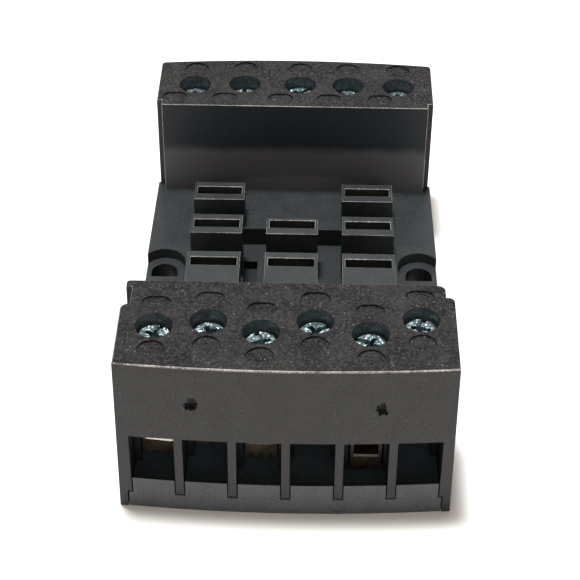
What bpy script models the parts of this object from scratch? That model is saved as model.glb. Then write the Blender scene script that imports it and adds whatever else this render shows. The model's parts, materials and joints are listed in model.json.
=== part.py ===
"""Double-tier socket for an eleven-blade plug-in relay.

Six terminals stand in the front block (-Y), five in the rear block (+Y), and the relay plugs in between.
The origin is at the middle of the footprint, on the underside; X runs across, Y along, Z up.
Lengths in the constants are millimetres. Blender's unit is the metre, so the helpers multiply by MM.
"""

import math

import bmesh
import bpy

MM = 0.001
TINY = 1e-6  # metres; welds the caps of an extruded outline

# --- driving dimensions ------------------------------------------------------------------------------
ORIGIN_Y = 32.6  # front face corners to the middle of the footprint
FRONT_HEIGHT = 22.9
REAR_HEIGHT = 22.5
FRONT_HALF = 19.66  # half width of the front block's forward part
LEFT_NECK = 18.55  # the same behind the side steps
RIGHT_NECK = 18.65
FRONT_DEPTH = 14.95
LEFT_STEP_Y = 10.65  # where the front block narrows, left and right
RIGHT_STEP_Y = 12.75
EAR_X = 19.3  # the flange at the block's left rear corner reaches this far out
EAR_Y = 13.8
FRONT_BOW = 0.9  # rise of the curved end faces
REAR_BOW = 0.95
PANEL_Y = 54.05  # flat face of the rear block, towards the relay
PANEL_HALF = 18.4
FLANGE_Y = 55.2
FLANGE_HALF = 19.12
REAR_Y = 65.15
REAR_CORNER = 0.6
SIDE_DRAFT = 0.012  # the front block is this much wider at its foot

PLATE_FRONT_HALF = 19.9  # the plate narrows towards the rear
PLATE_REAR_HALF = 19.42
PLATE_TOP = 8.3
POCKET_FLOOR = 5.6
POCKET_HALF = 13.63
POCKET_REAR_Y = 44.8
POLE_PITCH = 10.16
TOWER_HALF = 3.47
TOWER_TOP = 12.9
BLADE_SLOT = (6.1, 1.7)  # along X, along Y

# Blade rows, front to rear: the outer towers of each row as (first Y, last Y), and the slot centres.
ROW_1_TOWER = (45.3, 49.3)
ROW_2_TOWER = (37.7, 41.85)
ROW_2_MIDDLE_TOWER = (37.7, 41.2)
ROW_3_TOWER = (14.4, 33.7)
ROW_Y = {1: 47.45, 2: 39.9, 3: 31.65, 4: 23.4}

ENTRY_PITCH = 6.3
ENTRY_SHIFT = 0.05  # the row of front entries stands this far right of the middle
ENTRY_HALF = 2.66
ENTRY_TOP = 11.7
SILL_TOP = 4.75  # the base cover closes the foot of each wire entry
SILL_DEPTH = {"front": 0.6, "rear": 2.2}
RIB_FOOT = 2.65
WELL_RADIUS = 2.19

BASE_FRONT_HALF = 18.75
BASE_HALF = 18.1
BASE_FRONT_TOP = 2.3
BASE_TOP = 3.5
BASE_SPLIT_Y = 11.0
RAIL_CENTRE_Y = 32.6
RAIL_WIDTH = 35.0  # top-hat rail across its lips
RAIL_CEILING = 2.8
HOOK_TOP = 1.4
HOOK_REACH = 1.3
FIT = 0.15  # clearance between the base cover and the housing
GAP = 0.25  # clearance round moving pieces and contacts

MOUNT_X = 17.2
MOUNT_HOLE_Y = 36.72
MOUNT_HOLE_RADIUS = 1.78
MOUNT_HOLE_FLAT = 35.75  # the D-shaped hole's straight edge
RECESS_RADIUS = 2.9  # rounded end of the recess round the hole
RECESS_Y = 37.0
RECESS_DEPTH = 1.5

CAGE_SIZE = (3.8, 4.2, 5.8)
CAGE_WALL = 0.4
CAGE_LIP = 1.6  # the front cages' lips hang this far below them
CAGE_FLOOR = 0.6
CAGE_ROOF = 1.4
CAGE_FOOT = 6.6  # underside of a cage screwed fully up
CAGE_TRAVEL = 2.5
SCREW_RADIUS = 1.5  # M3
HEAD_RADIUS = 1.9
HEAD_HEIGHT = 2.0

BAR_TOP = 8.25
BAR_THICKNESS = 0.8
BAR_HALF = 1.2
STRIP = 0.5  # strip thickness of the links
LINK_HALF = 1.0
RUN_HALF = 0.85
CROSS_HALF = 0.9
LOW_LINK = 3.8  # undersides of the two layers of links
HIGH_LINK = 6.2
CLIP_TOP = 9.6
LEAF = 0.35
CLIP_HALF = (2.7, 0.65)
FRONT_RISER_Y = 12.3
REAR_RISER_Y = 56.0

LATCH_HALF = 4.0
LATCH_FLANGE = 1.0
LATCH_TOP = 1.95
LATCH_FOOT = 0.35
LATCH_REAR_Y = 64.6
LATCH_NOSE_TOP = 1.35

# Terminals: name, screw X, screw Y, blade column (-1, 0, 1), blade row, X of the link, layer of the
# link, slot angle of the screw in degrees, how far the cage stands below its closed height, and how
# far the screw's head sits below the block's top.
TERMINALS = (
    ("front_1", -15.45, 6.75, -1, 4, -12.0, HIGH_LINK, 62, 0.5, 1.4),
    ("front_2", -9.15, 7.7, -1, 3, -8.4, LOW_LINK, 20, 0.0, 1.7),
    ("front_3", -3.0, 5.95, 0, 4, -1.6, HIGH_LINK, 110, 0.3, 1.5),
    ("front_4", 3.25, 8.0, 0, 3, 1.6, LOW_LINK, 35, 0.0, 1.6),
    ("front_5", 9.65, 5.85, 1, 4, 8.6, HIGH_LINK, 150, 1.9, 1.45),
    ("front_6", 15.55, 8.6, 1, 3, 11.9, LOW_LINK, 75, 0.0, 1.35),
    ("rear_1", -14.05, 59.3, -1, 1, -12.0, HIGH_LINK, 15, 0.0, 1.75),
    ("rear_2", -7.1, 59.7, -1, 2, -8.4, LOW_LINK, 95, 0.0, 1.9),
    ("rear_3", 0.65, 59.6, 0, 2, 0.65, LOW_LINK, 50, 0.0, 1.5),
    ("rear_4", 7.35, 59.6, 1, 2, 8.4, LOW_LINK, 130, 0.0, 1.95),
    ("rear_5", 14.4, 59.4, 1, 1, 12.0, HIGH_LINK, 5, 0.0, 1.8),
)

# --- derived dimensions ------------------------------------------------------------------------------
ENTRIES = tuple(ENTRY_SHIFT + (i - 2.5) * ENTRY_PITCH for i in range(6))
BLOCK_HEIGHT = {"front": FRONT_HEIGHT, "rear": REAR_HEIGHT}
SCREW_TIP = BAR_TOP + GAP
POCKET_TOP = CAGE_FOOT + CAGE_SIZE[2] + GAP
RAIL_FRONT_Y = RAIL_CENTRE_Y - RAIL_WIDTH / 2 - 0.2
RAIL_REAR_Y = RAIL_CENTRE_Y + RAIL_WIDTH / 2 + 0.2
BELOW = -1.0  # cutters that open downwards start here
REAR_END_Y = REAR_Y + REAR_BOW
CURVE_STEPS = 12
ROUND_STEPS = 20
SCREW_STEPS = 16


def clear_scene():
    """Starts from an empty scene."""
    for obj in list(bpy.data.objects):
        bpy.data.objects.remove(obj, do_unlink=True)


def new_collection(name, parent):
    """A named collection inside another."""
    made = bpy.data.collections.new(name)
    parent.children.link(made)
    return made


def material(name, colour, roughness, metallic):
    """A plain Principled material."""
    made = bpy.data.materials.new(name)
    made.use_nodes = True
    shader = made.node_tree.nodes["Principled BSDF"]
    shader.inputs["Base Color"].default_value = (*colour, 1.0)
    shader.inputs["Roughness"].default_value = roughness
    shader.inputs["Metallic"].default_value = metallic
    return made


def add_mesh(name, bm, group):
    """Turns a bmesh into an object of the group."""
    mesh = bpy.data.meshes.new(name)
    bm.to_mesh(mesh)
    bm.free()
    obj = bpy.data.objects.new(name, mesh)
    group.objects.link(obj)
    return obj


def as_cutter(obj):
    """Marks an object that only shapes others."""
    obj.hide_render = True
    obj.display_type = "WIRE"
    return obj


def box(name, group, x, y, z):
    """A box between the given (low, high) pairs, in millimetres from the front corners' Y."""
    bm = bmesh.new()
    bmesh.ops.create_cube(bm, size=1.0)
    size = [(high - low) * MM for low, high in (x, y, z)]
    middle = [(low + high) / 2 * MM for low, high in (x, y, z)]
    middle[1] -= ORIGIN_Y * MM
    bmesh.ops.scale(bm, vec=size, verts=bm.verts)
    bmesh.ops.translate(bm, vec=middle, verts=bm.verts)
    return add_mesh(name, bm, group)


def cylinder(name, group, centre, radius, z, steps=ROUND_STEPS):
    """An upright cylinder about (X, Y), between two heights."""
    bm = bmesh.new()
    height = (z[1] - z[0]) * MM
    bmesh.ops.create_cone(
        bm, cap_ends=True, segments=steps, radius1=radius * MM, radius2=radius * MM, depth=height
    )
    middle = (centre[0] * MM, (centre[1] - ORIGIN_Y) * MM, (z[0] + z[1]) / 2 * MM)
    bmesh.ops.translate(bm, vec=middle, verts=bm.verts)
    return add_mesh(name, bm, group)


def arc(centre, radius, start, end, steps):
    """Points on an arc, both ends included; the angles are in degrees."""
    turn = [math.radians(start + (end - start) * i / steps) for i in range(steps + 1)]
    return [(centre[0] + radius * math.cos(a), centre[1] + radius * math.sin(a)) for a in turn]


def corner(x, y, radius):
    """A rounded rear corner of an outline, at (x, y), going from right to left."""
    side = 1 if x > 0 else -1
    start = 0 if side > 0 else 90
    return arc((x - side * radius, y - radius), radius, start, start + 90, 4)


def bowed_end(half, y, bow):
    """Points across a gently curved end face, from -X to +X; a negative bow bulges towards -Y."""
    steps = [2 * i / CURVE_STEPS - 1 for i in range(CURVE_STEPS + 1)]
    return [(half * t, y + bow * (1 - t * t)) for t in steps]


def prism(name, group, outline, z):
    """Extrudes a closed outline of (X, Y) points between two heights."""
    curve = bpy.data.curves.new(name, "CURVE")
    curve.dimensions = "2D"
    curve.fill_mode = "BOTH"
    curve.extrude = (z[1] - z[0]) / 2 * MM
    spline = curve.splines.new("POLY")
    spline.points.add(len(outline) - 1)
    spline.use_cyclic_u = True
    for point, (x, y) in zip(spline.points, outline):
        point.co = (x * MM, (y - ORIGIN_Y) * MM, 0.0, 1.0)
    drawn = bpy.data.objects.new(name + "_outline", curve)
    drawn.location.z = (z[0] + z[1]) / 2 * MM
    group.objects.link(drawn)
    mesh = evaluated_mesh(drawn)
    obj = bpy.data.objects.new(name, mesh)
    obj.matrix_world = drawn.matrix_world
    group.objects.link(obj)
    bpy.data.objects.remove(drawn)
    return obj


def evaluated_mesh(obj):
    """The object's mesh with its modifiers applied and loose caps welded."""
    bpy.context.view_layer.update()
    seen = bpy.context.evaluated_depsgraph_get()
    mesh = bpy.data.meshes.new_from_object(obj.evaluated_get(seen))
    bm = bmesh.new()
    bm.from_mesh(mesh)
    bmesh.ops.remove_doubles(bm, verts=bm.verts, dist=TINY)
    bm.to_mesh(mesh)
    bm.free()
    return mesh


def combine(obj, name, group, operation):
    """One Boolean of the object with every object in the group."""
    modifier = obj.modifiers.new(name, "BOOLEAN")
    modifier.operation = operation
    modifier.operand_type = "COLLECTION"
    modifier.collection = group
    modifier.solver = "EXACT"


def span(middle, half):
    """The (low, high) pair about a middle."""
    return (middle - half, middle + half)


def block_of(name):
    """The block a terminal stands in: "front" or "rear"."""
    return name.split("_")[0]


# --- housing -----------------------------------------------------------------------------------------
def front_outline():
    """Front block seen from above: bowed face, a step on each side, and an ear at the left rear."""
    points = bowed_end(FRONT_HALF, 0.0, -FRONT_BOW)
    points += corner(FRONT_HALF, RIGHT_STEP_Y, 0.75)
    points += [(RIGHT_NECK, RIGHT_STEP_Y)]
    points += corner(RIGHT_NECK, FRONT_DEPTH, 0.9)
    points += corner(-EAR_X, FRONT_DEPTH, 0.45)
    points += [(-EAR_X, EAR_Y), (-LEFT_NECK, EAR_Y), (-LEFT_NECK, LEFT_STEP_Y)]
    points += corner(-FRONT_HALF, LEFT_STEP_Y, 1.1)
    return points


def rear_outline():
    """Rear block seen from above: flat panel, set-back side flanges, bowed rear face."""
    points = [(-PANEL_HALF, PANEL_Y), (PANEL_HALF, PANEL_Y)]
    points += [(PANEL_HALF, FLANGE_Y), (FLANGE_HALF, FLANGE_Y)]
    points += corner(FLANGE_HALF, REAR_Y, REAR_CORNER)
    points += list(reversed(bowed_end(FLANGE_HALF - REAR_CORNER, REAR_Y, REAR_BOW)))[1:-1]
    points += corner(-FLANGE_HALF, REAR_Y, REAR_CORNER)
    points += [(-FLANGE_HALF, FLANGE_Y), (-PANEL_HALF, FLANGE_Y)]
    return points


def add_draft(obj, height):
    """Widens the block evenly towards its foot."""
    mesh = obj.data
    for vertex in mesh.vertices:
        world_z = (obj.matrix_world @ vertex.co).z
        vertex.co.x *= 1 + SIDE_DRAFT * (1 - world_z / (height * MM))


def tower_boxes(group):
    """The upright boxes that carry the blade slots; the front ones run on to the front block."""
    for side in (-1, 0, 1):
        across = span(side * POLE_PITCH, TOWER_HALF)
        if side:
            box(f"tower_1_{side}", group, across, ROW_1_TOWER, (POCKET_FLOOR - 1, TOWER_TOP))
        row_2 = ROW_2_TOWER if side else ROW_2_MIDDLE_TOWER
        box(f"tower_2_{side}", group, across, row_2, (POCKET_FLOOR - 1, TOWER_TOP))
        box(f"tower_3_{side}", group, across, ROW_3_TOWER, (POCKET_FLOOR - 1, TOWER_TOP))


def terminal_cuts(group, name, x, y, height, sink, entry_x, end_y):
    """Screw well, screw passage, cage pocket and wire entry of one terminal."""
    head_foot = height - sink - HEAD_HEIGHT
    pocket_half = CAGE_SIZE[0] / 2 + GAP
    pocket_y = span(y, CAGE_SIZE[1] / 2 + GAP)
    well = (head_foot - GAP, height + 1)
    cylinder(f"well_{name}", group, (x, y), WELL_RADIUS, well)
    passage = (POCKET_TOP - 0.5, head_foot)
    cylinder(f"passage_{name}", group, (x, y), SCREW_RADIUS + 2 * GAP, passage, 12)
    box(f"pocket_{name}", group, span(x, pocket_half), pocket_y, (BELOW, POCKET_TOP))
    entry_y = (min(y, end_y), max(y, end_y))
    entry_y = (entry_y[0], pocket_y[0] + 0.5) if end_y < y else (pocket_y[1] - 0.5, entry_y[1])
    box(f"entry_{name}", group, span(entry_x, ENTRY_HALF), entry_y, (BELOW, ENTRY_TOP))


def contact_cuts(group, name, x, y, column, row, link_x, layer, riser_y):
    """Passages for one contact: the busbar, the riser, the link and the clip under its slot."""
    slot_y = ROW_Y[row]
    towards = 1 if riser_y > y else -1
    bar_y = sorted((y, riser_y + towards * (STRIP / 2 + GAP)))
    box(f"bar_way_{name}", group, span(x, BAR_HALF + GAP), bar_y, (BELOW, BAR_TOP + GAP))
    way = LINK_HALF + GAP
    top = layer + STRIP + GAP
    across = (min(x, link_x) - way, max(x, link_x) + way)
    box(f"cross_way_{name}", group, across, span(riser_y, LINK_HALF + GAP), (BELOW, top))
    box(f"link_way_{name}", group, span(link_x, way), sorted((riser_y, slot_y)), (BELOW, top))
    slot_x = span(column * POLE_PITCH, BLADE_SLOT[0] / 2)
    box(f"slot_{name}", group, slot_x, span(slot_y, BLADE_SLOT[1] / 2), (BELOW, TOWER_TOP + 1))


def mount_cuts(group, side):
    """The D-shaped panel screw hole, in a round-ended recess that runs back from the front block."""
    x = side * MOUNT_X
    flat = [(x - MOUNT_HOLE_RADIUS, MOUNT_HOLE_FLAT), (x + MOUNT_HOLE_RADIUS, MOUNT_HOLE_FLAT)]
    outline = arc((x, MOUNT_HOLE_Y), MOUNT_HOLE_RADIUS, 0, 180, 12) + flat
    prism(f"mount_hole_{side}", group, outline, (BELOW, PLATE_TOP + 1))
    start = [(x - RECESS_RADIUS, FRONT_DEPTH), (x + RECESS_RADIUS, FRONT_DEPTH)]
    outline = arc((x, RECESS_Y), RECESS_RADIUS, 0, 180, 12) + start
    prism(f"recess_{side}", group, outline, (PLATE_TOP - RECESS_DEPTH, PLATE_TOP + 1))


def underside_cuts(group):
    """Room for the base cover, and the rail's way through the side skirts."""
    front = BASE_FRONT_HALF + FIT
    rear = BASE_HALF + FIT
    box("seat_front", group, (-front, front), (-3, BASE_SPLIT_Y + FIT), (BELOW, RIB_FOOT))
    seat = (BASE_SPLIT_Y - 1 - FIT, REAR_END_Y + 2)
    box("seat_rear", group, (-rear, rear), seat, (BELOW, BASE_TOP + 0.2))
    box("rail_way", group, (-30, 30), (RAIL_FRONT_Y, RAIL_REAR_Y), (BELOW, RAIL_CEILING + FIT))


def build_housing(parts, cutters, look):
    """The black moulded body."""
    housing = prism("housing", parts, front_outline(), (0.0, FRONT_HEIGHT))
    add_draft(housing, FRONT_HEIGHT)
    blocks = new_collection("housing_blocks", cutters)
    prism("rear_block", blocks, rear_outline(), (0.0, REAR_HEIGHT))
    plate_y = (FRONT_DEPTH - 1.5, PANEL_Y + 1.5)
    plate = [(-PLATE_FRONT_HALF, plate_y[0]), (PLATE_FRONT_HALF, plate_y[0])]
    plate += [(PLATE_REAR_HALF, plate_y[1]), (-PLATE_REAR_HALF, plate_y[1])]
    prism("plate", blocks, plate, (0.0, PLATE_TOP))
    combine(housing, "blocks", blocks, "UNION")
    pocket = new_collection("housing_pocket", cutters)
    pocket_y = (FRONT_DEPTH, POCKET_REAR_Y)
    box("pocket", pocket, (-POCKET_HALF, POCKET_HALF), pocket_y, (POCKET_FLOOR, PLATE_TOP + 1))
    box("left_recess", pocket, (-6.6, -4.75), (20.0, 40.9), (POCKET_FLOOR - 1.3, PLATE_TOP))
    combine(housing, "pocket", pocket, "DIFFERENCE")
    towers = new_collection("housing_towers", cutters)
    tower_boxes(towers)
    combine(housing, "towers", towers, "UNION")
    cuts = new_collection("housing_cuts", cutters)
    underside_cuts(cuts)
    for side in (-1, 1):
        mount_cuts(cuts, side)
    for place, (name, x, y, column, row, link_x, layer, _, _, sink) in enumerate(TERMINALS):
        block = block_of(name)
        in_front = block == "front"
        entry_x = ENTRIES[place] if in_front else x
        end_y = -FRONT_BOW - 1 if in_front else REAR_END_Y + 1
        riser_y = FRONT_RISER_Y if in_front else REAR_RISER_Y
        terminal_cuts(cuts, name, x, y, BLOCK_HEIGHT[block], sink, entry_x, end_y)
        contact_cuts(cuts, name, x, y, column, row, link_x, layer, riser_y)
    combine(housing, "cuts", cuts, "DIFFERENCE")
    housing.data.materials.append(look)
    return housing


# --- base cover and rail latch -----------------------------------------------------------------------
def base_outline(front):
    """The base cover's front strip or its long rear part, seen from above."""
    if front:
        points = bowed_end(BASE_FRONT_HALF, 0.0, -FRONT_BOW)
        return points + [(BASE_FRONT_HALF, BASE_SPLIT_Y), (-BASE_FRONT_HALF, BASE_SPLIT_Y)]
    points = [(-BASE_HALF, BASE_SPLIT_Y - 1), (BASE_HALF, BASE_SPLIT_Y - 1)]
    return points + list(reversed(bowed_end(BASE_HALF, REAR_Y, REAR_BOW)))


def sills(group, end, entries, half, inwards):
    """Low walls that close the foot of the wire entries, one between each pair of ribs."""
    reach = ENTRY_HALF - FIT
    for place, middle in enumerate(entries):
        across = [max(-half, min(half, middle + reach * t)) for t in (-1, -0.5, 0, 0.5, 1)]
        outline = [(x, end(x)) for x in across]
        outline += [(x, end(x) + inwards) for x in reversed(across)]
        prism(f"sill_{end.__name__}_{place}", group, outline, (BASE_FRONT_TOP - 1, SILL_TOP))


def front_end(x):
    """Y of the bowed front face at X."""
    return -FRONT_BOW * (1 - (x / BASE_FRONT_HALF) ** 2)


def rear_end(x):
    """Y of the bowed rear face at X."""
    return REAR_Y + REAR_BOW * (1 - (x / BASE_HALF) ** 2)


def build_base_cover(parts, cutters, look):
    """The snap-in cover that closes the housing from below and grips the rail."""
    base = prism("base_cover", parts, base_outline(front=True), (0.0, BASE_FRONT_TOP))
    adds = new_collection("base_blocks", cutters)
    prism("base_long", adds, base_outline(front=False), (0.0, BASE_TOP))
    sills(adds, front_end, ENTRIES, BASE_FRONT_HALF, SILL_DEPTH["front"])
    rear_entries = [row[1] for row in TERMINALS if block_of(row[0]) == "rear"]
    sills(adds, rear_end, rear_entries, BASE_HALF, -SILL_DEPTH["rear"])
    combine(base, "blocks", adds, "UNION")
    cuts = new_collection("base_cuts", cutters)
    hook_y = RAIL_FRONT_Y + HOOK_REACH
    box("rail_channel", cuts, (-30, 30), (hook_y, RAIL_REAR_Y), (BELOW, RAIL_CEILING))
    box("rail_undercut", cuts, (-30, 30), (RAIL_FRONT_Y, hook_y + 1), (HOOK_TOP, RAIL_CEILING))
    latch_y = (RAIL_REAR_Y - 0.5, REAR_END_Y + 1)
    slot = LATCH_HALF + GAP
    rim = LATCH_HALF + LATCH_FLANGE + GAP
    box("latch_slot", cuts, (-slot, slot), latch_y, (BELOW, LATCH_TOP + GAP))
    box("latch_rim_slot", cuts, (-rim, rim), latch_y, (0.8, LATCH_TOP + GAP))
    for side in (-1, 1):
        mount_cuts(cuts, side)
    combine(base, "cuts", cuts, "DIFFERENCE")
    base.data.materials.append(look)
    return base


def build_latch(parts, cutters, look):
    """The spring-loaded slide under the rear block that locks the rail's rear lip."""
    nose = RAIL_REAR_Y - 1.5
    across = (-LATCH_HALF, LATCH_HALF)
    latch = box("rail_latch", parts, across, (RAIL_REAR_Y, LATCH_REAR_Y), (LATCH_FOOT, LATCH_TOP))
    adds = new_collection("latch_blocks", cutters)
    rim = LATCH_HALF + LATCH_FLANGE
    box("latch_rim", adds, (-rim, rim), (RAIL_REAR_Y, LATCH_REAR_Y - 1), (0.8 + GAP, LATCH_TOP))
    box("latch_nose", adds, across, (nose, RAIL_REAR_Y + 1), (LATCH_FOOT, LATCH_NOSE_TOP))
    combine(latch, "blocks", adds, "UNION")
    cuts = new_collection("latch_cuts", cutters)
    box("driver_slot", cuts, (-1.8, 1.8), (LATCH_REAR_Y - 2.2, LATCH_REAR_Y - 1.2), (BELOW, 1.2))
    combine(latch, "cuts", cuts, "DIFFERENCE")
    latch.data.materials.append(look)
    return latch


# --- metalwork ---------------------------------------------------------------------------------------
def screw_mesh(cutters, block):
    """An M3 terminal screw with a slot and a cross recess; its origin is at the top of the head."""
    deepest = max(row[-1] for row in TERMINALS if block_of(row[0]) == block)
    tip = SCREW_TIP - (BLOCK_HEIGHT[block] - deepest)
    foot = -HEAD_HEIGHT
    profile = [(0, 0), (HEAD_RADIUS - 0.2, 0), (HEAD_RADIUS, -0.2), (HEAD_RADIUS, foot)]
    profile += [(SCREW_RADIUS, foot)]
    profile += [(SCREW_RADIUS, tip + 0.5), (1.0, tip), (0, tip)]
    bm = bmesh.new()
    line = [bm.verts.new((x * MM, 0, z * MM)) for x, z in profile]
    for first, second in zip(line, line[1:]):
        bm.edges.new((first, second))
    turned = add_mesh("screw_blank", bm, cutters)
    spin = turned.modifiers.new("turn", "SCREW")
    spin.steps = SCREW_STEPS
    spin.render_steps = SCREW_STEPS
    spin.use_merge_vertices = True
    spin.merge_threshold = 1e-5
    spin.use_smooth_shade = False
    recess = new_collection(f"recess_{block}", cutters)
    lift = ORIGIN_Y  # the recess is cut about the screw's own origin
    as_cutter(box("slot", recess, (-3, 3), span(lift, 0.35), (-0.7, 1)))
    as_cutter(box("cross_a", recess, (-1.15, 1.15), span(lift, 0.33), (-1.3, 1)))
    as_cutter(box("cross_b", recess, (-0.33, 0.33), span(lift, 1.15), (-1.3, 1)))
    combine(turned, "recess", recess, "DIFFERENCE")
    mesh = evaluated_mesh(turned)
    bpy.data.objects.remove(turned)
    mesh.name = f"terminal_screw_{block}"
    mesh.shade_smooth()
    mesh.set_sharp_from_angle(angle=math.radians(35))
    return mesh


def cage_mesh(cutters, block):
    """A rising cage: a square ring round the busbar, the screw's hole in its roof, a lip in front."""
    x, y, z = (size / 2 for size in CAGE_SIZE)
    middle = ORIGIN_Y  # built about the cage's own origin, at the middle of its underside
    blank = box("cage_blank", cutters, (-x, x), span(middle, y), (0, 2 * z))
    if block == "front":
        adds = new_collection("cage_adds", cutters)
        lip_y = (middle - y, middle - y + CAGE_WALL)
        box("lip", adds, (-x, x), lip_y, (-CAGE_LIP, CAGE_FLOOR))
        combine(blank, "adds", adds, "UNION")
    cuts = new_collection("cage_cuts", cutters)
    window_z = (CAGE_FLOOR, 2 * z - CAGE_ROOF)
    box("window", cuts, span(0, x - CAGE_WALL), span(middle, y + 1), window_z)
    cylinder("thread", cuts, (0, middle), SCREW_RADIUS + FIT, (CAGE_FLOOR + 1, 2 * z + 1), 16)
    combine(blank, "cuts", cuts, "DIFFERENCE")
    mesh = evaluated_mesh(blank)
    bpy.data.objects.remove(blank)
    mesh.name = f"clamp_cage_{block}"
    return mesh


def build_contact(parts, cutters, look, name, x, y, column, row, link_x, layer, riser_y):
    """One circuit: busbar in the cage, riser, link under the plate and a two-leaf blade clip."""
    slot_y = ROW_Y[row]
    towards = 1 if riser_y > y else -1
    riser = span(riser_y, STRIP / 2)
    bar_y = sorted((y - towards * 1.7, riser_y + towards * STRIP / 2))
    bar_z = (BAR_TOP - BAR_THICKNESS, BAR_TOP)
    link_z = (layer, layer + STRIP)
    contact = box(f"contact_{name}", parts, span(x, BAR_HALF), bar_y, bar_z)
    adds = new_collection(f"contact_{name}_adds", cutters)
    box("riser", adds, span(x, LINK_HALF), riser, (layer, BAR_TOP - 0.2))
    cross = (min(x, link_x) - LINK_HALF, max(x, link_x) + LINK_HALF)
    box("cross", adds, cross, span(riser_y, CROSS_HALF), link_z)
    box("run", adds, span(link_x, RUN_HALF), sorted((riser_y, slot_y)), link_z)
    middle = column * POLE_PITCH
    box("clip_foot", adds, span(middle, CLIP_HALF[0]), span(slot_y, CLIP_HALF[1]), link_z)
    for side in (-1, 1):
        outer = slot_y + side * CLIP_HALF[1]
        leaf_y = sorted((outer, outer - side * LEAF))
        box("leaf", adds, span(middle, CLIP_HALF[0] - 0.2), leaf_y, (layer + 0.2, CLIP_TOP))
    combine(contact, "strip", adds, "UNION")
    contact.data.materials.append(look)
    return contact


def build_metalwork(parts, cutters, looks):
    """Eleven screws, cages and contacts."""
    screw_meshes = {block: screw_mesh(cutters, block) for block in BLOCK_HEIGHT}
    for mesh in screw_meshes.values():
        mesh.materials.append(looks["screw"])
    cage_meshes = {block: cage_mesh(cutters, block) for block in BLOCK_HEIGHT}
    for mesh in cage_meshes.values():
        mesh.materials.append(looks["cage"])
    for name, x, y, column, row, link_x, layer, turn, drop, sink in TERMINALS:
        block = block_of(name)
        riser_y = FRONT_RISER_Y if block == "front" else REAR_RISER_Y
        screw = bpy.data.objects.new(f"screw_{name}", screw_meshes[block])
        screw.location = (x * MM, (y - ORIGIN_Y) * MM, (BLOCK_HEIGHT[block] - sink) * MM)
        screw.rotation_euler.z = math.radians(turn)
        parts.objects.link(screw)
        clamp = bpy.data.objects.new(f"cage_{name}", cage_meshes[block])
        clamp.location = (x * MM, (y - ORIGIN_Y) * MM, (CAGE_FOOT - drop) * MM)
        parts.objects.link(clamp)
        build_contact(
            parts, cutters, looks["contact"], name, x, y, column, row, link_x, layer, riser_y
        )


def main():
    """Builds every piece of the socket."""
    clear_scene()
    scene = bpy.context.scene.collection
    parts = new_collection("relay_socket", scene)
    cutters = new_collection("cutters", scene)
    looks = {
        "housing": material("black_moulding", (0.055, 0.053, 0.052), 0.55, 0.0),
        "base": material("grey_moulding", (0.085, 0.09, 0.1), 0.5, 0.0),
        "latch": material("latch_moulding", (0.05, 0.05, 0.055), 0.5, 0.0),
        "screw": material("zinc_plated_steel", (0.62, 0.68, 0.7), 0.25, 1.0),
        "cage": material("nickel_plated_steel", (0.66, 0.55, 0.46), 0.3, 1.0),
        "contact": material("brass_strip", (0.7, 0.55, 0.32), 0.35, 1.0),
    }
    build_housing(parts, cutters, looks["housing"])
    build_base_cover(parts, cutters, looks["base"])
    build_latch(parts, cutters, looks["latch"])
    build_metalwork(parts, cutters, looks)
    for obj in cutters.all_objects:
        as_cutter(obj)


main()
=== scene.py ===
"""Looks for the eleven-blade relay socket: moulded plastic, plated metal, studio light and camera."""

import json
import math
import random

import bmesh
import bpy
from mathutils import Matrix, Vector, noise

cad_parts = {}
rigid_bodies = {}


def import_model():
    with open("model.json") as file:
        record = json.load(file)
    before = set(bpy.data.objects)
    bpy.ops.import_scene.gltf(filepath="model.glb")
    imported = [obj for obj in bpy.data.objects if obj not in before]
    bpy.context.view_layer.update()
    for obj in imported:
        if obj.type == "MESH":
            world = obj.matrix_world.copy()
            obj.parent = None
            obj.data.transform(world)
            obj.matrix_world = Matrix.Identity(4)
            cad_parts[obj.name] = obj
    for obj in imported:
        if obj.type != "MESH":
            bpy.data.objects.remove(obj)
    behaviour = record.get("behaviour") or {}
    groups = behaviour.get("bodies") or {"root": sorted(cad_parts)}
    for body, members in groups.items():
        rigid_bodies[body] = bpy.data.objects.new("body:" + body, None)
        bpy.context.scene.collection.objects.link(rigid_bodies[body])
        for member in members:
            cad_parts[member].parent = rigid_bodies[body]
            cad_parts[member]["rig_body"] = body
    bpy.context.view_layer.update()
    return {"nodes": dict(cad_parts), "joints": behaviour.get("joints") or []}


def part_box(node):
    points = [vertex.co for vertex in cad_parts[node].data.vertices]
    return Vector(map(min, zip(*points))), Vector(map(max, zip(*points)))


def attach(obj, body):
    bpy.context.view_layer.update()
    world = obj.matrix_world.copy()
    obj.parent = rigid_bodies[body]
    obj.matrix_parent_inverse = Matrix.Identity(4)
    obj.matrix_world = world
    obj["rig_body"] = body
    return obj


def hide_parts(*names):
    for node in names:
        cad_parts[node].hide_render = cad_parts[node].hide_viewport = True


MM = 0.001
WELD = 1e-6  # points nearer than this, in metres, are one
SHARP_ANGLE = 35  # edges that turn further than this, in degrees, are rounded
FACING = 0.7  # a face looks along an axis when that part of its normal is past this

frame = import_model()

# --- places read from the frame ----------------------------------------------------------------------
SCREW_PLACE = {
    joint["child"].removeprefix("screw_"): joint["pos_m"]
    for joint in frame["joints"]
    if joint["name"].startswith("turn_")
}
HOUSING_LOW, HOUSING_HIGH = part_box("housing")
REAR_STEP = 0.4 * MM  # the rear block is this much lower
FRONT_TOP = HOUSING_HIGH.z
REAR_TOP = FRONT_TOP - REAR_STEP
FRONT_FACE_Y = HOUSING_LOW.y

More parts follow.
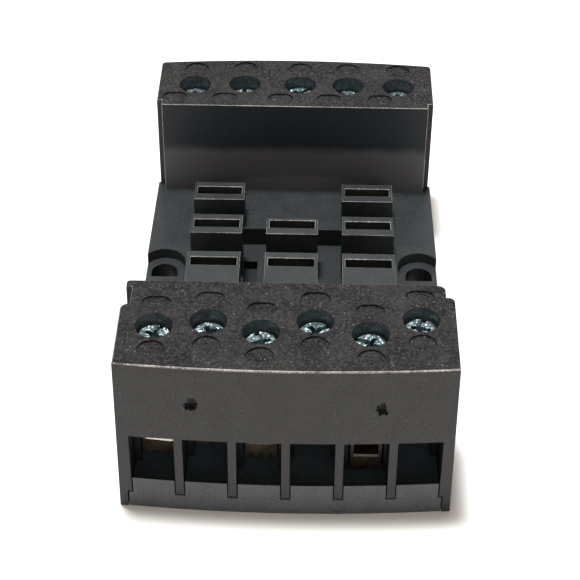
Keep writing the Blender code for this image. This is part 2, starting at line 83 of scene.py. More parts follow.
# --- sizes of the visible detail, millimetres --------------------------------------------------------
WELL_RADIUS = 2.2
WELL_TRUE_DEPTH = 4.1  # below the block top, where the well gives way to the screw's passage
WELL_FLOOR = 12.0
PAD_DEPTH = 0.26
FRONT_WALL_REAR = -31.0
FRONT_BLOCK_REAR = -17.65
PANEL_Y = 21.45
BLOCK_LAND = 22.0  # above this height lie only the tops of the two blocks
PASSAGE_TOP = 13.0  # the wire entries and cage pockets stay below this height
FRONT_INSIDE = (18.6, -32.3)  # half width of the front passages, and where along Y they begin
REAR_INSIDE = (18.2, 32.4)  # half width of the rear passages, and where along Y they end
DECK_LEVEL = 5.0
TOWER_TOP = 12.9
EDGE = 0.24  # widest rounded edge of the housing
EDGE_WEIGHT = {"front_rim": 0.9, "front_top": 0.15, "rear_top": 0.35, "tower": 0.3, "panel": 0.35}
FRONT_CIRCLE = (-4.24, 1.63)  # offset along Y from the screw, radius
FRONT_PILL = (4.15, 1.74, 1.2)  # offset along Y, half length, half width
REAR_CIRCLE = (4.1, 1.68)  # offset along Y from the screw, radius
REAR_PILL_SHIFT = -2.66  # along X from the screw
REAR_PILL_Y = 23.5
NUMERAL_SIZE = 1.9
NUMERAL_RAISE = 0.07
GATE_PITS = ((-10.85, 17.25), (11.0, 17.1))  # X and Z on the front face
GATE_PIT_SIZE = (0.95, 1.25)  # half width, half height
GATE_PIT_JITTER = 0.32
GATE_PIT_DEPTH = 1.1
GATE_PIT_TAPER = 0.6  # the pit's floor is this much of its mouth
GATE_PIT_REACH = 1.3  # faces this near a pit's middle are its own
COVER_WELD = 0.02
SILL_HEIGHTS = (2.0, 4.5)  # sill tops lie above the first, and their unlit crests above the second
FLASH_PLACE = (6.5, -33.35, 0.28)
FLASH_SIZE = (0.75, 0.22, 0.26)  # half sizes
CAGE_SILL = 0.38
CAGE_SILL_RISE = (0.1, 3.0)  # heights of the sill's edges above the cage's foot
PANEL_REFLECTION_AND_ARCH = (15.2, 10.8)  # heights where the panel's painted reflection begins, paler and browner below, and where its faint arch tops out
HEAD_RADIUS = 1.9
THREAD_RADIUS = 1.5
THREAD_ROOT = 1.24
THREAD_PITCH = 0.5
RECESS = (  # length, width, depth and turn of each wedge cut into a screw's head
    (5.2, 0.75, 0.65, 0),  # slot
    (2.5, 0.62, 1.5, 0),  # cross
    (2.5, 0.62, 1.5, 90),
    (2.7, 0.12, 0.14, 45),  # hair lines
    (2.7, 0.12, 0.14, 135),
)
RECESS_LIFT = 0.6  # how far a wedge stands above the head before it is cut away
BURR_DEPTH = 0.16  # the crown is roughened down to here
BURR_REACH = 1.8  # and out to here
SCREW_TURN = {  # degrees
    "front_1": 62, "front_2": 20, "front_3": 110, "front_4": 35, "front_5": 150, "front_6": 75,
    "rear_1": 15, "rear_2": 95, "rear_3": 50, "rear_4": 130, "rear_5": 5,
}


# --- small builders ----------------------------------------------------------------------------------
def add_object(name, bm, materials=()):
    """Makes an object from a bmesh and gives it its materials."""
    mesh = bpy.data.meshes.new(name)
    bm.to_mesh(mesh)
    bm.free()
    obj = bpy.data.objects.new(name, mesh)
    bpy.context.scene.collection.objects.link(obj)
    for one in materials:
        mesh.materials.append(one)
    return obj


def add_cylinder(bm, centre, radius, z, segments=64):
    """Adds an upright cylinder; centre is (X, Y) and z is (low, high), all in millimetres."""
    height = (z[1] - z[0]) * MM
    place = Matrix.Translation((centre[0] * MM, centre[1] * MM, (z[0] + z[1]) / 2 * MM))
    bmesh.ops.create_cone(
        bm, cap_ends=True, segments=segments, radius1=radius * MM, radius2=radius * MM,
        depth=height, matrix=place,
    )


def add_prism(bm, outline, z):
    """Adds an upright prism over a closed outline of (X, Y) points, in millimetres."""
    low = [bm.verts.new((x * MM, y * MM, z[0] * MM)) for x, y in outline]
    high = [bm.verts.new((x * MM, y * MM, z[1] * MM)) for x, y in outline]
    bm.faces.new(list(reversed(low)))
    bm.faces.new(high)
    count = len(outline)
    for i in range(count):
        bm.faces.new((low[i], low[(i + 1) % count], high[(i + 1) % count], high[i]))


def pill_outline(centre, half_length, radius, corner_steps=8):
    """A rounded bar lying along X."""
    points = []
    for side, start in ((1, -90), (-1, 90)):
        middle = centre[0] + side * (half_length - radius)
        for i in range(corner_steps + 1):
            turn = math.radians(start + 180 * i / corner_steps)
            points.append((middle + radius * math.cos(turn), centre[1] + radius * math.sin(turn)))
    return points


def rough_outline(centre, halves, jitter, rng, count=16):
    """A ragged closed outline, as (first, second) coordinates."""
    points = []
    for i in range(count):
        turn = 2 * math.pi * i / count
        reach = 1 + rng.uniform(-jitter, jitter)
        first = centre[0] + halves[0] * reach * math.cos(turn)
        points.append((first, centre[1] + halves[1] * reach * math.sin(turn)))
    return points


def evaluated(obj):
    """The object's mesh with its modifiers applied."""
    bpy.context.view_layer.update()
    seen = bpy.context.evaluated_depsgraph_get()
    return bpy.data.meshes.new_from_object(obj.evaluated_get(seen))


def clean(mesh, angle=0.6, weld=WELD):
    """Welds a mesh, merges its flat neighbouring faces and drops its stored normals."""
    bm = bmesh.new()
    bm.from_mesh(mesh)
    bmesh.ops.remove_doubles(bm, verts=bm.verts, dist=weld)
    bmesh.ops.dissolve_degenerate(bm, dist=weld, edges=bm.edges)
    bmesh.ops.dissolve_limit(
        bm, angle_limit=math.radians(angle), verts=bm.verts, edges=bm.edges, use_dissolve_boundaries=False
    )
    bmesh.ops.recalc_face_normals(bm, faces=bm.faces)
    fresh = bpy.data.meshes.new(mesh.name)
    bm.to_mesh(fresh)
    bm.free()
    if "custom_normal" in fresh.attributes:
        fresh.attributes.remove(fresh.attributes["custom_normal"])
    return fresh


def cut(obj, cutter, operation="DIFFERENCE"):
    """Cuts one mesh out of another for good."""
    modifier = obj.modifiers.new("cut", "BOOLEAN")
    modifier.operation = operation
    modifier.object = cutter
    modifier.solver = "EXACT"
    obj.data = evaluated(obj)
    obj.modifiers.clear()
    bpy.data.objects.remove(cutter)


def copy_of(node, name, weld=WELD):
    """A cleaned working copy of a CAD node, ready for finer shape."""
    mesh = clean(frame["nodes"][node].data, weld=weld)
    obj = bpy.data.objects.new(name, mesh)
    bpy.context.scene.collection.objects.link(obj)
    return obj


def smooth(mesh, angle=30):
    """Smooth shading, with edges kept sharp above an angle in degrees."""
    mesh.shade_smooth()
    mesh.set_sharp_from_angle(angle=math.radians(angle))


def soften(obj, width, segments=2):
    """Rounds an object's sharp edges by a width in millimetres."""
    modifier = obj.modifiers.new("edges", "BEVEL")
    modifier.width = width * MM
    modifier.segments = segments
    modifier.limit_method = "ANGLE"
    modifier.angle_limit = math.radians(SHARP_ANGLE)
    modifier.harden_normals = True
    modifier.miter_outer = "MITER_ARC"
    return modifier


def place(obj, node, slot):
    """Lets a piece stand for its CAD node, on the node's body."""
    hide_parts(node)
    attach(obj, frame["nodes"][node]["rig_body"])


# --- materials ---------------------------------------------------------------------------------------
GRAIN_GLINT = 3.0  # painted glint: how many times paler the grain's tips are painted, standing in for light glancing off the grain
SPECK_COLOUR = (0.26, 0.25, 0.22)


class Shader:
    """A short way to write one material's nodes."""

    def __init__(self, name):
        self.material = bpy.data.materials.new(name)
        self.material.use_nodes = True
        self.tree = self.material.node_tree
        self.surface = self.tree.nodes["Principled BSDF"]
        self.coords = self.node("ShaderNodeTexCoord").outputs["Object"]

    def node(self, kind, **settings):
        """Adds a node with its settings."""
        made = self.tree.nodes.new(kind)
        for key, value in settings.items():
            setattr(made, key, value)
        return made

    def feed(self, target, value):
        """Links a socket, or sets a plain value."""
        if isinstance(value, bpy.types.NodeSocket):
            self.tree.links.new(value, target)
        else:
            target.default_value = value

    def noise(self, size, detail=3.0, roughness=0.55):
        """Noise whose features are about this many millimetres across."""
        made = self.node("ShaderNodeTexNoise")
        self.feed(made.inputs["Vector"], self.coords)
        made.inputs["Scale"].default_value = 1.0 / (size * MM)
        made.inputs["Detail"].default_value = detail
        made.inputs["Roughness"].default_value = roughness
        return made.outputs["Fac"]

    def along(self, axis):
        """Place along an axis of the object, in metres."""
        split = self.node("ShaderNodeSeparateXYZ")
        self.feed(split.inputs[0], self.coords)
        return split.outputs[axis]

    def cells(self, size):
        """Distance to scattered points this many millimetres apart."""
        made = self.node("ShaderNodeTexVoronoi")
        self.feed(made.inputs["Vector"], self.coords)
        made.inputs["Scale"].default_value = 1.0 / (size * MM)
        return made.outputs["Distance"]

    def span(self, value, low, high, out_low=0.0, out_high=1.0):
        """Maps a value from one range to another, clamped."""
        made = self.node("ShaderNodeMapRange")
        self.feed(made.inputs["Value"], value)
        for key, number in (("From Min", low), ("From Max", high), ("To Min", out_low), ("To Max", out_high)):
            self.feed(made.inputs[key], number)
        return made.outputs["Result"]

    def math(self, operation, first, second=0.0):
        """One arithmetic step."""
        made = self.node("ShaderNodeMath", operation=operation)
        self.feed(made.inputs[0], first)
        self.feed(made.inputs[1], second)
        return made.outputs[0]

    def mix(self, amount, first, second):
        """Mixes two colours."""
        made = self.node("ShaderNodeMix", data_type="RGBA")
        self.feed(made.inputs["Factor"], amount)
        for key, value in (("A", first), ("B", second)):
            socket = [s for s in made.inputs if s.name == key and s.type == "RGBA"][0]
            self.feed(socket, value if isinstance(value, bpy.types.NodeSocket) else (*value, 1.0))
        return [s for s in made.outputs if s.type == "RGBA"][0]

    def bump(self, height, depth, normal=None):
        """A bump of this many millimetres."""
        made = self.node("ShaderNodeBump")
        made.inputs["Strength"].default_value = 1.0
        made.inputs["Distance"].default_value = depth * MM
        self.feed(made.inputs["Height"], height)
        if normal is not None:
            self.feed(made.inputs["Normal"], normal)
        return made.outputs["Normal"]

    def done(self, colour, roughness, normal=None, metallic=0.0, specular=0.5):
        """Feeds the surface and returns the material."""
        self.feed(self.surface.inputs["Base Color"], colour)
        self.feed(self.surface.inputs["Roughness"], roughness)
        self.feed(self.surface.inputs["Metallic"], metallic)
        self.feed(self.surface.inputs["Specular IOR Level"], specular)
        if normal is not None:
            self.feed(self.surface.inputs["Normal"], normal)
        return self.material


def moulded(name, dark, light, grain, grain_depth, rough, speck=0.0, specular=0.3, contrast=0.5):
    """Moulded plastic: mottled colour, spark grain with painted glints on its tips, and pale specks; grain
    sizes are in millimetres.
    """
    s = Shader(name)
    mottle = s.span(s.noise(3.0, 5.0, 0.65), 0.38, 0.62)
    colour = s.mix(mottle, dark, light)
    fine = s.span(s.noise(grain, 3.0, 0.7), 0.47, 0.66)
    # painted glint: the tips of the grain are mixed towards a much paler colour
    colour = s.mix(s.math("MULTIPLY", fine, contrast), colour, tuple(c * GRAIN_GLINT for c in light))
    if speck:
        flecks = s.span(s.cells(0.5), 0.18, 0.08)
        chosen = s.span(s.noise(0.8, 1.0), 0.52, 0.6)
        amount = s.math("MULTIPLY", s.math("MULTIPLY", flecks, chosen), speck)
        colour = s.mix(amount, colour, SPECK_COLOUR)
    roughness = s.span(s.noise(0.4, 3.0), 0.3, 0.7, rough - 0.06, rough + 0.08)
    height = s.math("ADD", s.noise(grain, 5.0, 0.75), s.math("MULTIPLY", s.noise(grain * 3.2, 2.0), 0.6))
    return s.done(colour, roughness, s.bump(height, grain_depth), specular=specular)


def banded_panel():
    """The upright panel: bluish black above, with a painted reflection below that makes it paler and browner,
    and a faint paler arch at its foot.
    """
    s = Shader("black_panel")
    blotch = s.span(s.noise(4.0, 4.0), 0.3, 0.7, -0.3 * MM, 0.3 * MM)
    height = s.math("ADD", s.along("Z"), blotch)
    band, arch = PANEL_REFLECTION_AND_ARCH
    # painted reflection: below this height the panel is painted paler and browner
    lower = s.span(height, (band + 0.7) * MM, (band - 0.7) * MM)
    colour = s.mix(lower, (0.007, 0.013, 0.018), (0.083, 0.081, 0.094))
    sag = s.math("MULTIPLY", s.math("POWER", s.math("ABSOLUTE", s.along("X")), 2.0), 12.0)
    arched = s.span(s.math("ADD", height, sag), (arch + 0.2) * MM, (arch - 0.2) * MM)
    colour = s.mix(s.math("MULTIPLY", arched, 0.6), colour, (0.125, 0.12, 0.14))
    fine = s.span(s.noise(0.2, 4.0, 0.7), 0.4, 0.68)
    colour = s.mix(s.math("MULTIPLY", fine, 0.3), colour, (0.05, 0.05, 0.05))
    return s.done(colour, 0.42, s.bump(s.noise(0.2, 5.0, 0.75), 0.012), specular=0.35)


def plated(name, base, tint, rough, ripple, metallic=1.0):
    """Plated metal: tint clouds, fine tool marks and a slightly hammered skin."""
    s = Shader(name)
    cloud = s.span(s.noise(1.3, 4.0), 0.35, 0.65)
    colour = s.mix(cloud, base, tint)
    streaks = s.node("ShaderNodeMapping")
    s.feed(streaks.inputs["Vector"], s.coords)
    streaks.inputs["Scale"].default_value = (1.0, 9.0, 1.0)
    fine = s.node("ShaderNodeTexNoise")
    s.feed(fine.inputs["Vector"], streaks.outputs["Vector"])
    fine.inputs["Scale"].default_value = 1500.0
    fine.inputs["Detail"].default_value = 4.0
    roughness = s.span(fine.outputs["Fac"], 0.3, 0.7, rough, rough + 0.16)
    height = s.math("ADD", s.noise(0.35, 3.0), s.math("MULTIPLY", fine.outputs["Fac"], 0.25))
    return s.done(colour, roughness, s.bump(height, ripple), metallic=metallic)


def plastic_finishes():
    """The moulded finishes of the housing, the base cover and the latch, by name."""
    return {
        "top": moulded(
            "spark_textured_top", (0.006, 0.005, 0.007), (0.0195, 0.0195, 0.0195),
            grain=0.32, grain_depth=0.14, rough=0.5, speck=1.0, specular=0.16, contrast=0.8,
        ),
        "side": moulded(
            "black_side", (0.019, 0.019, 0.019), (0.025, 0.025, 0.025),
            grain=0.12, grain_depth=0.012, rough=0.5, speck=0.25,
        ),
        "deck": moulded(
            "black_deck", (0.014, 0.018, 0.02), (0.022, 0.026, 0.028),
            grain=0.14, grain_depth=0.016, rough=0.4, speck=0.1,
        ),
        "panel": banded_panel(),
        # partly wear, partly painted highlight: the rounded edges are painted much paler than the black
        # plastic
        "edge": moulded(
            "worn_edge_and_painted_highlight", (0.06, 0.058, 0.056), (0.2, 0.195, 0.185),
            grain=0.25, grain_depth=0.03, rough=0.4, specular=0.5,
        ),
        # painted reflection: the well walls are a paler, bluer copy of the black plastic
        "well": moulded(
            "glossy_well_wall_painted_reflection", (0.034, 0.046, 0.054), (0.046, 0.06, 0.07),
            grain=0.5, grain_depth=0.004, rough=0.32, specular=0.4,
        ),
        # painted fill light: the passages are a much paler, bluer copy of the black plastic
        "inner": moulded(
            "passage_painted_fill_light", (0.09, 0.125, 0.15), (0.115, 0.155, 0.18),
            grain=0.3, grain_depth=0.004, rough=0.5, specular=0.1, contrast=0.12,
        ),
        "shade": moulded(
            "unlit_plastic", (0.012, 0.016, 0.019), (0.018, 0.023, 0.026),
            grain=0.3, grain_depth=0.004, rough=0.5, specular=0.15, contrast=0.1,
        ),
        "pit": moulded(
            "torn_gate", (0.003, 0.003, 0.003), (0.03, 0.03, 0.03),
            grain=0.2, grain_depth=0.12, rough=0.6, speck=1.0, contrast=0.9,
        ),
        "base": moulded(
            "grey_base_cover", (0.045, 0.05, 0.056), (0.056, 0.061, 0.066),
            grain=0.14, grain_depth=0.01, rough=0.42, speck=0.12,
        ),
        "latch": moulded(
            "latch_plastic", (0.024, 0.024, 0.026), (0.032, 0.032, 0.034),
            grain=0.14, grain_depth=0.01, rough=0.45,
        ),
    }


def metal_finishes():
    """The plated finishes of the screws, the cages and the contacts, by name."""
    return {
        "zinc": plated(
            "bright_zinc", (0.1, 0.15, 0.165), (0.32, 0.4, 0.41), rough=0.42, ripple=0.03
        ),
        "cage": plated(
            "coppery_nickel", (0.12, 0.09, 0.07), (0.3, 0.24, 0.19), rough=0.35, ripple=0.004
        ),
        # painted highlight: the near-white sill finish stands in for light glancing off the cage's rounded
        # sill
        "cage_edge": plated(
            "nickel_sill_painted_highlight", (1.0, 0.9, 0.8), (1.0, 0.96, 0.88), rough=0.22, ripple=0.001, metallic=0.35
        ),
        "brass": plated(
            "brass_strip", (0.62, 0.46, 0.22), (0.74, 0.58, 0.32), rough=0.28, ripple=0.006
        ),
    }


# --- housing -----------------------------------------------------------------------------------------
def screw_xy(name):
    """A screw's place in millimetres."""
    x, y, _ = SCREW_PLACE[name]
    return x / MM, y / MM


def block_top(name):
    """Height of the block top round a screw, in millimetres."""
    return (FRONT_TOP if name.startswith("front") else REAR_TOP) / MM


def pad_places():
    """Every marking pad as (kind, X, Y, block top)."""
    places = []
    for name in SCREW_PLACE:
        x, y = screw_xy(name)
        top = block_top(name)
        if name.startswith("front"):
            places.append(("circle", x, y + FRONT_CIRCLE[0], FRONT_CIRCLE[1], top))
            places.append(("pill", x, y + FRONT_PILL[0], FRONT_PILL[1], top))
        else:
            places.append(("circle", x, y + REAR_CIRCLE[0], REAR_CIRCLE[1], top))
            places.append(("pill", x + REAR_PILL_SHIFT, REAR_PILL_Y, FRONT_PILL[1], top))
    return places


def pad_cutter():
    """The sunk marking pads of both blocks."""
    bm = bmesh.new()
    for kind, x, y, size, top in pad_places():
        z = (top - PAD_DEPTH, top + 1)
        if kind == "circle":
            add_cylinder(bm, (x, y), size, z, 48)
        else:
            add_prism(bm, pill_outline((x, y), size, FRONT_PILL[2]), z)
    return add_object("pad_cutter", bm)


def well_cutter():
    """Cylinders that true up the faceted screw wells."""
    bm = bmesh.new()
    for name in SCREW_PLACE:
        top = block_top(name)
        add_cylinder(bm, screw_xy(name), WELL_RADIUS, (top - WELL_TRUE_DEPTH, top + 1), 72)
    return add_object("well_cutter", bm)


def pit_cutter(rng):
    """Two ragged gate pits in the front face, narrower at the floor than at the mouth."""
    bm = bmesh.new()
    mouth_y = FRONT_FACE_Y / MM - 1.0
    floor_y = FRONT_FACE_Y / MM + GATE_PIT_DEPTH
    for x, z in GATE_PITS:
        mouth = rough_outline((x, z), GATE_PIT_SIZE, GATE_PIT_JITTER, rng)
        floor = [(x + (px - x) * GATE_PIT_TAPER, z + (pz - z) * GATE_PIT_TAPER) for px, pz in mouth]
        near = [bm.verts.new((px * MM, mouth_y * MM, pz * MM)) for px, pz in mouth]
        far = [bm.verts.new((px * MM, floor_y * MM, pz * MM)) for px, pz in floor]
        bm.faces.new(near)
        bm.faces.new(list(reversed(far)))
        for i in range(len(mouth)):
            j = (i + 1) % len(mouth)
            bm.faces.new((near[j], near[i], far[i], far[j]))
    bmesh.ops.recalc_face_normals(bm, faces=bm.faces)
    return add_object("pit_cutter", bm)


def add_numerals(obj):
    """Adds the raised terminal numbers, 1 to 11, in the round pads of a housing mesh."""
    bm = bmesh.new()
    bm.from_mesh(obj.data)
    for number, name in enumerate(SCREW_PLACE, start=1):
        x, y = screw_xy(name)
        shift = FRONT_CIRCLE[0] if name.startswith("front") else REAR_CIRCLE[0]
        curve = bpy.data.curves.new("numeral", "FONT")
        curve.body = str(number)
        curve.size = NUMERAL_SIZE * MM
        curve.align_x = "CENTER"
        curve.align_y = "CENTER"
        curve.extrude = NUMERAL_RAISE * MM
        curve.resolution_u = 3
        drawn = bpy.data.objects.new("numeral", curve)
        drawn.location = (x * MM, (y + shift) * MM, (block_top(name) - PAD_DEPTH) * MM)
        bpy.context.scene.collection.objects.link(drawn)
        mesh = evaluated(drawn)
        mesh.transform(drawn.matrix_world)
        bm.from_mesh(mesh)
        bpy.data.objects.remove(drawn)
    bmesh.ops.remove_doubles(bm, verts=bm.verts, dist=WELD)
    bm.to_mesh(obj.data)
    bm.free()


def near_screw(x, y, reach):
    """The terminal whose screw stands within a reach of a point, in millimetres, or None."""
    for name in SCREW_PLACE:
        sx, sy = screw_xy(name)
        if math.hypot(x - sx, y - sy) < reach:
            return name
    return None


def on_pad(x, y, z):
    """Whether a point lies on the rim or floor of a marking pad."""
    for kind, px, py, size, top in pad_places():
        across = size if kind == "circle" else FRONT_PILL[2]
        if z > top - PAD_DEPTH - 0.02 and abs(x - px) < size + 0.05 and abs(y - py) < across + 0.05:
            return True
    return False


def inside_front(x, y, z):
    """Whether a point lies inside a wire entry of the front block or the cage pocket behind it."""
    half_width, start = FRONT_INSIDE
    return z < PASSAGE_TOP and abs(x) < half_width and start < y < FRONT_BLOCK_REAR - 0.4


def inside_rear(x, y, z):
    """Whether a point lies inside a passage of the rear block."""
    half_width, end = REAR_INSIDE
    return z < PASSAGE_TOP and abs(x) < half_width and PANEL_Y + 0.5 < y < end


def inside_pit(x, y, z):
    """Whether a point lies on the walls or floor of a gate pit."""
    near_pit = any(math.hypot(x - px, z - pz) < GATE_PIT_REACH for px, pz in GATE_PITS)
    return near_pit and FRONT_FACE_Y / MM + 0.4 < y < FRONT_WALL_REAR


def inner_finish(centre, normal):
    """The finish of a face inside a front passage: unlit at the sides, dull where it faces a cage, and
    elsewhere a paler copy of the plastic, painted fill light.
    """
    x, y, _ = centre
    if abs(normal.x) > FACING:
        return "shade"
    by_cage = normal.y < -FACING and near_screw(x, y + 1.5, 2.9)
    return "deck" if by_cage else "inner"


def finish_of(centre, normal):
    """Which finish a face of the housing has, from its place in millimetres."""
    x, y, z = centre
    name = near_screw(x, y, WELL_RADIUS + 0.1)
    if name and WELL_FLOOR < z < block_top(name) - 0.01:
        return "well"
    if inside_pit(x, y, z):
        return "pit"
    in_front = y < FRONT_BLOCK_REAR
    in_rear = y > PANEL_Y - 0.4
    if z > BLOCK_LAND and (in_front or in_rear):
        return "top"
    if not in_front and not in_rear:
        return "deck" if z > DECK_LEVEL else "shade"
    if in_rear and abs(y - PANEL_Y) < 0.1 and normal.y < -FACING:
        return "panel"
    if inside_front(x, y, z):
        return inner_finish(centre, normal)
    return "shade" if inside_rear(x, y, z) else "side"


def edge_weight(edge):
    """How strongly an edge of the housing is rounded, from 0 (left sharp) to 1."""
    first, second = (vertex.co for vertex in edge.verts)
    x, y, z = (first + second) / 2 / MM
    if near_screw(x, y, WELL_RADIUS + 0.2) or on_pad(x, y, z) or inside_front(x, y, z):
        return 0.0
    if z > BLOCK_LAND:
        if y < -32.0:
            return EDGE_WEIGHT["front_rim"]
        return EDGE_WEIGHT["rear_top" if y > 0.0 else "front_top"]
    lowest = min(vertex.co.z for face in edge.link_faces for vertex in face.verts) / MM
    if abs(z - TOWER_TOP) < 0.05 and lowest > 1.0:
        return EDGE_WEIGHT["tower"]
    upright = abs(first.z - second.z) > 6.0 * MM
    return EDGE_WEIGHT["panel"] if upright and abs(y - PANEL_Y) < 0.6 else 0.0


def weigh_edges(mesh):
    """Stores how strongly each sharp edge of the housing is rounded."""
    bm = bmesh.new()
    bm.from_mesh(mesh)
    weights = bm.edges.layers.float.new("bevel_weight_edge")
    for edge in bm.edges:
        if len(edge.link_faces) == 2 and edge.calc_face_angle() > math.radians(SHARP_ANGLE):
            edge[weights] = edge_weight(edge)
    bm.to_mesh(mesh)
    bm.free()


def build_housing(finishes):
    """The housing with true wells, sunk pads, gate pits and rounded edges painted paler, partly as wear and
    partly as a painted highlight.
    """
    housing = copy_of("housing", "housing_moulding")
    for cutter in (well_cutter(), pad_cutter(), pit_cutter(random.Random(5))):
        cut(housing, cutter)
    housing.data = clean(housing.data, 0.3)
    add_numerals(housing)
    names = ["side", "top", "deck", "panel", "well", "inner", "shade", "pit", "edge"]
    for name in names:
        housing.data.materials.append(finishes[name])
    for face in housing.data.polygons:
        face.material_index = names.index(finish_of(face.center / MM, face.normal))
    weigh_edges(housing.data)
    smooth(housing.data)
    rounded = soften(housing, EDGE)
    rounded.limit_method = "WEIGHT"
    rounded.use_clamp_overlap = False
    # the rounded edges take the pale edge finish, partly wear and partly a painted highlight
    rounded.material = names.index("edge")
    place(housing, "housing", "housing")


# --- smaller mouldings and metalwork -----------------------------------------------------------------
def build_plain(node, name, finish, slot, width):
    """A CAD node with rounded edges and one finish."""
    obj = copy_of(node, name)
    obj.data.materials.append(finish)
    smooth(obj.data)
    soften(obj, width)
    place(obj, node, slot)


def flash_lump(rng):
    """A small torn lump of flash at the base cover's front foot."""
    bm = bmesh.new()
    bmesh.ops.create_icosphere(bm, subdivisions=2, radius=1.0)
    for vertex in bm.verts:
        vertex.co *= 1 + rng.uniform(-0.2, 0.2)
    bmesh.ops.scale(bm, vec=[half * MM for half in FLASH_SIZE], verts=bm.verts)
    bmesh.ops.translate(bm, vec=[at * MM for at in FLASH_PLACE], verts=bm.verts)
    return add_object("flash_lump", bm)


def build_base_cover(finishes):
    """The base cover, with a lump of flash at its foot, painted shade on its sill crests and painted fill
    light on the sill tops below them.
    """
    base = copy_of("base_cover", "base_moulding", COVER_WELD * MM)
    cut(base, flash_lump(random.Random(3)), "UNION")
    names = ["base", "inner", "shade"]
    for name in names:
        base.data.materials.append(finishes[name])
    sill, crest = (height * MM for height in SILL_HEIGHTS)
    for face in base.data.polygons:
        at_front = face.center.y < FRONT_WALL_REAR * MM
        if at_front and face.center.z > sill and face.normal.z > FACING:
            # painted shade on the sill crests, painted fill light on the lower sill tops
            face.material_index = names.index("shade" if face.center.z > crest else "inner")
    smooth(base.data)
    soften(base, 0.09)
    place(base, "base_cover", "base")


def turned(profile, steps):
    """A bmesh turned about Z from (radius, height) points in millimetres."""
    bm = bmesh.new()
    line = [bm.verts.new((r * MM, 0.0, z * MM)) for r, z in profile]
    edges = [bm.edges.new(pair) for pair in zip(line, line[1:])]
    bmesh.ops.spin(
        bm, geom=line + edges, cent=(0, 0, 0), axis=(0, 0, 1), angle=2 * math.pi, steps=steps, use_merge=True
    )
    bmesh.ops.remove_doubles(bm, verts=bm.verts, dist=WELD)
    bmesh.ops.recalc_face_normals(bm, faces=bm.faces)
    return bm


def screw_profile(length):
    """Half outline of a cheese-head screw, from the crown down."""
    crown = [(0.15 * i, -0.00075 * i * i) for i in range(11)]
    crown += [(1.72, -0.09), (1.84, -0.12), (HEAD_RADIUS, -0.22)]
    under = [(HEAD_RADIUS, -1.85), (1.8, -1.97), (THREAD_RADIUS, -2.0)]
    thread = []
    z = -2.4
    while z > -length + 0.9:
        thread += [(THREAD_RADIUS, z), (THREAD_ROOT, z - 0.2)]
        thread += [(THREAD_ROOT, z - 0.28), (THREAD_RADIUS, z - 0.48)]
        z -= THREAD_PITCH
    tip = [(1.2, -length + 0.1), (1.05, -length), (0.0, -length)]
    return crown + under + thread + tip


def recess_wedge(length, width, depth, turn):
    """A wedge across the screw's crown, narrower below, that cuts one arm of the recess."""
    bm = bmesh.new()
    made = bmesh.ops.create_cube(bm, size=1.0)["verts"]
    bmesh.ops.scale(bm, vec=(length * MM, width * MM, (depth + RECESS_LIFT) * MM), verts=made)
    bmesh.ops.translate(bm, vec=(0, 0, (RECESS_LIFT - depth) / 2 * MM), verts=made)
    for vertex in made:
        if vertex.co.z < 0:
            vertex.co.x *= 0.8
            vertex.co.y *= 0.75
    bmesh.ops.rotate(bm, cent=(0, 0, 0), matrix=Matrix.Rotation(math.radians(turn), 3, "Z"), verts=made)
    return add_object("recess_wedge", bm)


def screw_mesh(length, finish, rng):
    """A plated screw with its recess and a few raised burrs round it."""
    obj = add_object("screw_blank", turned(screw_profile(length), 56))
    for arm in RECESS:
        cut(obj, recess_wedge(*arm))
    mesh = obj.data
    bpy.data.objects.remove(obj)
    shift = Vector((rng.uniform(0, 9), rng.uniform(0, 9), 0.0))
    for vertex in mesh.vertices:
        reach = math.hypot(vertex.co.x, vertex.co.y)
        if vertex.co.z > -BURR_DEPTH * MM and reach < BURR_REACH * MM:
            swell = noise.noise(vertex.co / (0.3 * MM) + shift)
            vertex.co.z += (0.13 * swell + rng.uniform(-0.03, 0.06)) * MM
    mesh.materials.append(finish)
    smooth(mesh, 28)
    return mesh


def build_screws(finishes):
    """One detailed screw on each screw body."""
    for index, name in enumerate(SCREW_PLACE):
        low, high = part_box(f"screw_{name}")
        rng = random.Random(20 + index)
        mesh = screw_mesh((high.z - low.z) / MM, finishes["zinc"], rng)
        obj = bpy.data.objects.new(f"plated_screw_{name}", mesh)
        bpy.context.scene.collection.objects.link(obj)
        obj.location = SCREW_PLACE[name]
        obj.rotation_euler.z = math.radians(SCREW_TURN[name])
        place(obj, f"screw_{name}", "screw")


def brighten_sill(obj, finish):
    """Rounds a front cage's sill and gives the rounding a near-white finish, a painted highlight."""
    obj.data.materials.append(finish)
    bm = bmesh.new()
    bm.from_mesh(obj.data)
    weights = bm.edges.layers.float.new("bevel_weight_edge")
    lowest, highest = (rise * MM for rise in CAGE_SILL_RISE)
    foot = min(vertex.co.z for vertex in bm.verts)
    front = min(vertex.co.y for vertex in bm.verts)
    for edge in bm.edges:
        at_front = all(vertex.co.y < front + WELD for vertex in edge.verts)
        level = abs(edge.verts[0].co.z - edge.verts[1].co.z) < WELD
        if at_front and level and lowest < edge.verts[0].co.z - foot < highest:
            edge[weights] = 1.0
    bm.to_mesh(obj.data)
    bm.free()
    highlight_bevel = soften(obj, CAGE_SILL, 3)
    highlight_bevel.limit_method = "WEIGHT"
    highlight_bevel.material = 1


def build_cage(name, finishes):
    """A rising cage; the front ones have a painted highlight on their sill."""
    obj = copy_of(f"cage_{name}", f"rising_cage_{name}")
    obj.data.materials.append(finishes["cage"])
    smooth(obj.data)
    if name.startswith("front"):
        brighten_sill(obj, finishes["cage_edge"])
    soften(obj, 0.06)
    place(obj, f"cage_{name}", "cage")


def build_small_parts(finishes):
    """Latch, cages and contacts."""
    build_plain("rail_latch", "latch_moulding", finishes["latch"], "latch", 0.15)
    for name in SCREW_PLACE:
        build_cage(name, finishes)
        build_plain(f"contact_{name}", f"brass_contact_{name}", finishes["brass"], "contact", 0.06)


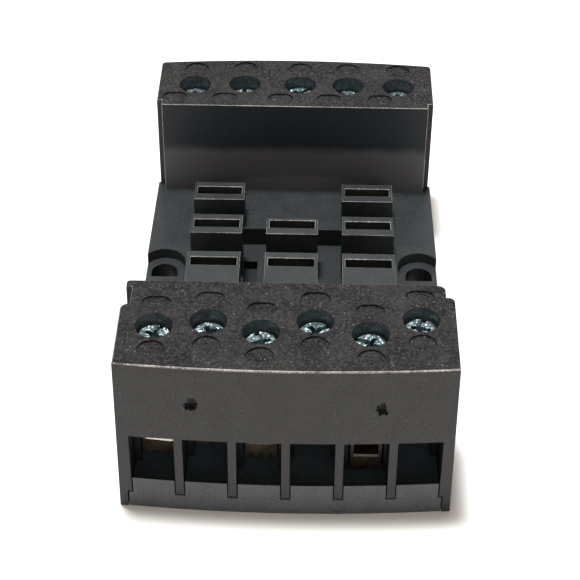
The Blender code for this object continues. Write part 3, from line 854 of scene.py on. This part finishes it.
# --- stage -------------------------------------------------------------------------------------------
FLOOR_GAP = 0.02 * MM  # the floor lies this far under the feet
LENS = 102.81
CAMERA_PLACE = (0.0025147, -0.1710705, 0.1471236)
CAMERA_DIP = 39.2353  # degrees below level
CAMERA_HEADING = 0.8814
CAMERA_ROLL = 0.5073


def build_floor():
    """A plain pale floor."""
    s = Shader("pale_floor")
    colour = s.mix(s.noise(60.0, 2.0), (0.9, 0.895, 0.885), (0.93, 0.93, 0.925))
    s.done(colour, 0.75, specular=0.2)
    bpy.ops.mesh.primitive_plane_add(size=6.0, location=(0, 0, -FLOOR_GAP))
    floor = bpy.context.object
    floor.name = "floor"
    floor.data.materials.append(s.material)


def add_light(name, location, target, size, power, colour=(1.0, 1.0, 1.0)):
    """A square soft light aimed at a point."""
    data = bpy.data.lights.new(name, "AREA")
    data.size = size
    data.energy = power
    data.color = colour
    obj = bpy.data.objects.new(name, data)
    bpy.context.scene.collection.objects.link(obj)
    obj.location = location
    obj.rotation_mode = "QUATERNION"
    obj.rotation_quaternion = (Vector(target) - Vector(location)).to_track_quat("-Z", "Y")


def build_lights():
    """Pale warm surroundings, a small overhead light and two broad faint panels."""
    world = bpy.data.worlds.new("studio")
    bpy.context.scene.world = world
    world.use_nodes = True
    shade = world.node_tree.nodes["Background"]
    shade.inputs["Color"].default_value = (1.0, 0.87, 0.74, 1.0)
    shade.inputs["Strength"].default_value = 0.36
    add_light("overhead", (-0.045, 0.032, 0.62), (0, 0, 0), 0.085, 5.2)
    add_light("front_panel", (0.05, -0.7, 0.22), (0, 0, 0.01), 0.5, 1.1, (1.0, 0.98, 0.95))
    add_light("rear_panel", (0.03, 0.5, 0.42), (0, 0, 0.01), 0.3, 0.4, (0.95, 1.0, 1.0))


def build_camera():
    """A long lens, high in front, turned and rolled by about a degree."""
    data = bpy.data.cameras.new("camera")
    data.sensor_width = 36.0
    data.lens = LENS
    data.clip_start = 0.01
    data.clip_end = 20.0
    camera = bpy.data.objects.new("camera", data)
    bpy.context.scene.collection.objects.link(camera)
    tilt = Matrix.Rotation(math.radians(90 - CAMERA_DIP), 4, "X")
    heading = Matrix.Rotation(math.radians(CAMERA_HEADING), 4, "Z")
    roll = Matrix.Rotation(math.radians(CAMERA_ROLL), 4, "Z")
    stand = Matrix.Translation(CAMERA_PLACE)
    camera.matrix_world = stand @ heading @ tilt @ roll
    bpy.context.scene.camera = camera


def main():
    """Builds the whole scene."""
    bpy.context.scene.view_settings.view_transform = "Standard"
    finishes = plastic_finishes() | metal_finishes()
    build_housing(finishes)
    build_base_cover(finishes)
    build_small_parts(finishes)
    build_screws(finishes)
    build_floor()
    build_lights()
    build_camera()


main()
